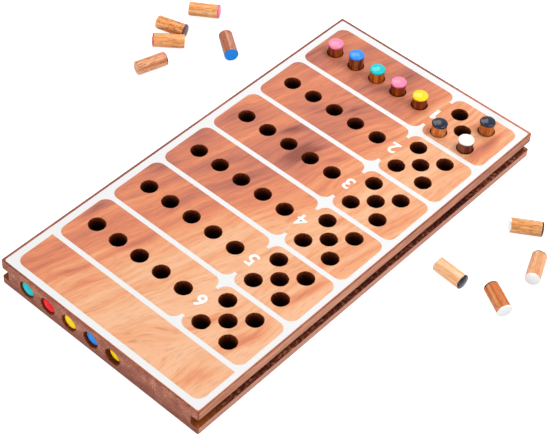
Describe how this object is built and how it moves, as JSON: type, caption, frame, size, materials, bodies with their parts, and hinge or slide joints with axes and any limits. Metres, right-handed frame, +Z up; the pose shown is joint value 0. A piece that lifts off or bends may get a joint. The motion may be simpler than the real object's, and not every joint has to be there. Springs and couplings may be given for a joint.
{
  "type": "code-breaking peg game",
  "caption": "Drilled hardwood board with grooved long sides and short dowel pegs with painted ends, some standing in its holes, some hidden in one end and some lying loose beside it.",
  "frame": {"origin": "centre of the board's underside", "axes": "+X across the board towards the key holes, +Y along it towards the end with row 1, +Z up out of the face with the holes"},
  "size_m": [0.2725, 0.252, 0.0251],
  "materials": {
    "board_wood": "oiled, with white printed panels",
    "pink_peg": "bare dowel, one end dipped in pink gloss paint",
    "blue_peg": "bare dowel, one end dipped in blue gloss paint",
    "teal_peg": "bare dowel, one end dipped in teal gloss paint",
    "yellow_peg": "bare dowel, one end dipped in yellow gloss paint",
    "red_peg": "bare dowel, one end dipped in red gloss paint",
    "plum_peg": "bare dowel, one end dipped in dark plum paint",
    "key_peg": "bare dowel, one end dipped in black and the other in white gloss paint"
  },
  "bodies": {
    "board": {"board": "board_wood"},
    "code_peg_1_pink": {"code_peg_1_pink": "pink_peg"},
    "code_peg_2_blue": {"code_peg_2_blue": "blue_peg"},
    "code_peg_3_teal": {"code_peg_3_teal": "teal_peg"},
    "code_peg_4_pink": {"code_peg_4_pink": "pink_peg"},
    "code_peg_5_yellow": {"code_peg_5_yellow": "yellow_peg"},
    "key_peg_1_black": {"key_peg_1_black": "key_peg"},
    "key_peg_2_black": {"key_peg_2_black": "key_peg"},
    "key_peg_3_white": {"key_peg_3_white": "key_peg"},
    "secret_peg_1_teal": {"secret_peg_1_teal": "teal_peg"},
    "secret_peg_2_red": {"secret_peg_2_red": "red_peg"},
    "secret_peg_3_yellow": {"secret_peg_3_yellow": "yellow_peg"},
    "secret_peg_4_blue": {"secret_peg_4_blue": "blue_peg"},
    "secret_peg_5_yellow": {"secret_peg_5_yellow": "yellow_peg"},
    "loose_peg_pink": {"loose_peg_pink": "pink_peg"},
    "loose_peg_blue": {"loose_peg_blue": "blue_peg"},
    "loose_peg_plum": {"loose_peg_plum": "plum_peg"},
    "loose_peg_red_1": {"loose_peg_red_1": "red_peg"},
    "loose_peg_red_2": {"loose_peg_red_2": "red_peg"},
    "loose_key_peg_1": {"loose_key_peg_1": "key_peg"},
    "loose_key_peg_2": {"loose_key_peg_2": "key_peg"},
    "loose_key_peg_3": {"loose_key_peg_3": "key_peg"},
    "loose_key_peg_4": {"loose_key_peg_4": "key_peg"}
  },
  "joints": [
    {"name": "code_peg_1_pink_lift", "type": "slide", "parent": "board", "child": "code_peg_1_pink", "axis": [0, 0, 1], "range_m": [0, 0.013]},
    {"name": "code_peg_2_blue_lift", "type": "slide", "parent": "board", "child": "code_peg_2_blue", "axis": [0, 0, 1], "range_m": [0, 0.013]},
    {"name": "code_peg_3_teal_lift", "type": "slide", "parent": "board", "child": "code_peg_3_teal", "axis": [0, 0, 1], "range_m": [0, 0.013]},
    {"name": "code_peg_4_pink_lift", "type": "slide", "parent": "board", "child": "code_peg_4_pink", "axis": [0, 0, 1], "range_m": [0, 0.013]},
    {"name": "code_peg_5_yellow_lift", "type": "slide", "parent": "board", "child": "code_peg_5_yellow", "axis": [0, 0, 1], "range_m": [0, 0.013]},
    {"name": "key_peg_1_black_lift", "type": "slide", "parent": "board", "child": "key_peg_1_black", "axis": [0, 0, 1], "range_m": [0, 0.013]},
    {"name": "key_peg_2_black_lift", "type": "slide", "parent": "board", "child": "key_peg_2_black", "axis": [0, 0, 1], "range_m": [0, 0.013]},
    {"name": "key_peg_3_white_lift", "type": "slide", "parent": "board", "child": "key_peg_3_white", "axis": [0, 0, 1], "range_m": [0, 0.013]},
    {"name": "secret_peg_1_teal_draw", "type": "slide", "parent": "board", "child": "secret_peg_1_teal", "axis": [0, -1, 0], "range_m": [0, 0.021]},
    {"name": "secret_peg_2_red_draw", "type": "slide", "parent": "board", "child": "secret_peg_2_red", "axis": [0, -1, 0], "range_m": [0, 0.021]},
    {"name": "secret_peg_3_yellow_draw", "type": "slide", "parent": "board", "child": "secret_peg_3_yellow", "axis": [0, -1, 0], "range_m": [0, 0.021]},
    {"name": "secret_peg_4_blue_draw", "type": "slide", "parent": "board", "child": "secret_peg_4_blue", "axis": [0, -1, 0], "range_m": [0, 0.021]},
    {"name": "secret_peg_5_yellow_draw", "type": "slide", "parent": "board", "child": "secret_peg_5_yellow", "axis": [0, -1, 0], "range_m": [0, 0.021]},
    {"name": "loose_peg_pink_lift", "type": "slide", "parent": "board", "child": "loose_peg_pink", "axis": [0, 0, 1], "range_m": [0, 0.03]},
    {"name": "loose_peg_blue_lift", "type": "slide", "parent": "board", "child": "loose_peg_blue", "axis": [0, 0, 1], "range_m": [0, 0.03]},
    {"name": "loose_peg_plum_lift", "type": "slide", "parent": "board", "child": "loose_peg_plum", "axis": [0, 0, 1], "range_m": [0, 0.03]},
    {"name": "loose_peg_red_1_lift", "type": "slide", "parent": "board", "child": "loose_peg_red_1", "axis": [0, 0, 1], "range_m": [0, 0.03]},
    {"name": "loose_peg_red_2_lift", "type": "slide", "parent": "board", "child": "loose_peg_red_2", "axis": [0, 0, 1], "range_m": [0, 0.03]},
    {"name": "loose_key_peg_1_lift", "type": "slide", "parent": "board", "child": "loose_key_peg_1", "axis": [0, 0, 1], "range_m": [0, 0.03]},
    {"name": "loose_key_peg_2_lift", "type": "slide", "parent": "board", "child": "loose_key_peg_2", "axis": [0, 0, 1], "range_m": [0, 0.03]},
    {"name": "loose_key_peg_3_lift", "type": "slide", "parent": "board", "child": "loose_key_peg_3", "axis": [0, 0, 1], "range_m": [0, 0.03]},
    {"name": "loose_key_peg_4_lift", "type": "slide", "parent": "board", "child": "loose_key_peg_4", "axis": [0, 0, 1], "range_m": [0, 0.03]}
  ]
}
